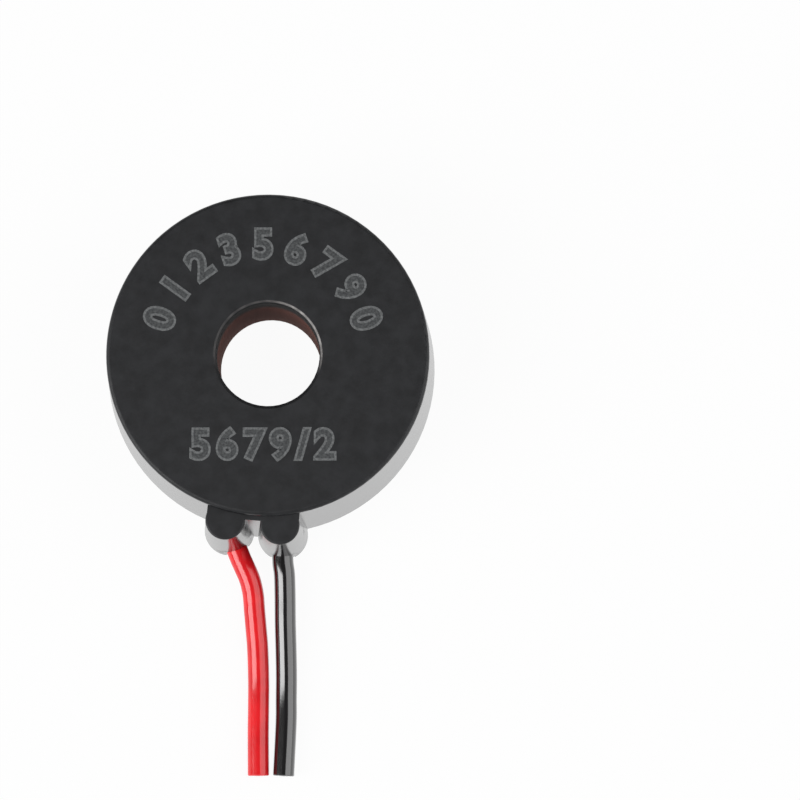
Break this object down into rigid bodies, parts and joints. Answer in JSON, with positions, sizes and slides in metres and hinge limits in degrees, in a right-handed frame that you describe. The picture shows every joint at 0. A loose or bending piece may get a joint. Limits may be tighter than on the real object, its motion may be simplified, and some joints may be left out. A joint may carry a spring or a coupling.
{
  "type": "current transformer",
  "caption": "Round through-hole current transformer in a black potted case, with two bosses and two short wire leads.",
  "frame": {"origin": "on the axis of the primary hole, in the plane of the case's back rim, which it stands on", "axes": "+Z along the axis of the primary hole, out of the closed front face; -Y towards the leads; +X to the side of the black lead"},
  "size_m": [0.0162, 0.0282, 0.007],
  "materials": {
    "case_plastic": "satin",
    "potting_resin": "glossy",
    "core_alloy": "satin",
    "box_plastic": "matte",
    "enamelled_wire": "glossy",
    "polyester_tape": "glossy",
    "solder": "satin",
    "tinned_strands": "satin",
    "red_sleeve": "matte",
    "black_sleeve": "matte",
    "red_insulation": "glossy",
    "black_insulation": "glossy"
  },
  "bodies": {
    "root": {"case": "case_plastic", "potting": "potting_resin", "core": "core_alloy", "core_box": "box_plastic", "core_lid": "box_plastic", "secondary_winding": "enamelled_wire", "winding_tape": "polyester_tape", "start_wire": "enamelled_wire", "finish_wire": "enamelled_wire", "solder_red": "solder", "solder_black": "solder", "sleeve_red": "red_sleeve", "sleeve_black": "black_sleeve", "strands_red": "tinned_strands", "strands_black": "tinned_strands", "lead_red": "red_insulation", "lead_black": "black_insulation"}
  },
  "joints": []
}
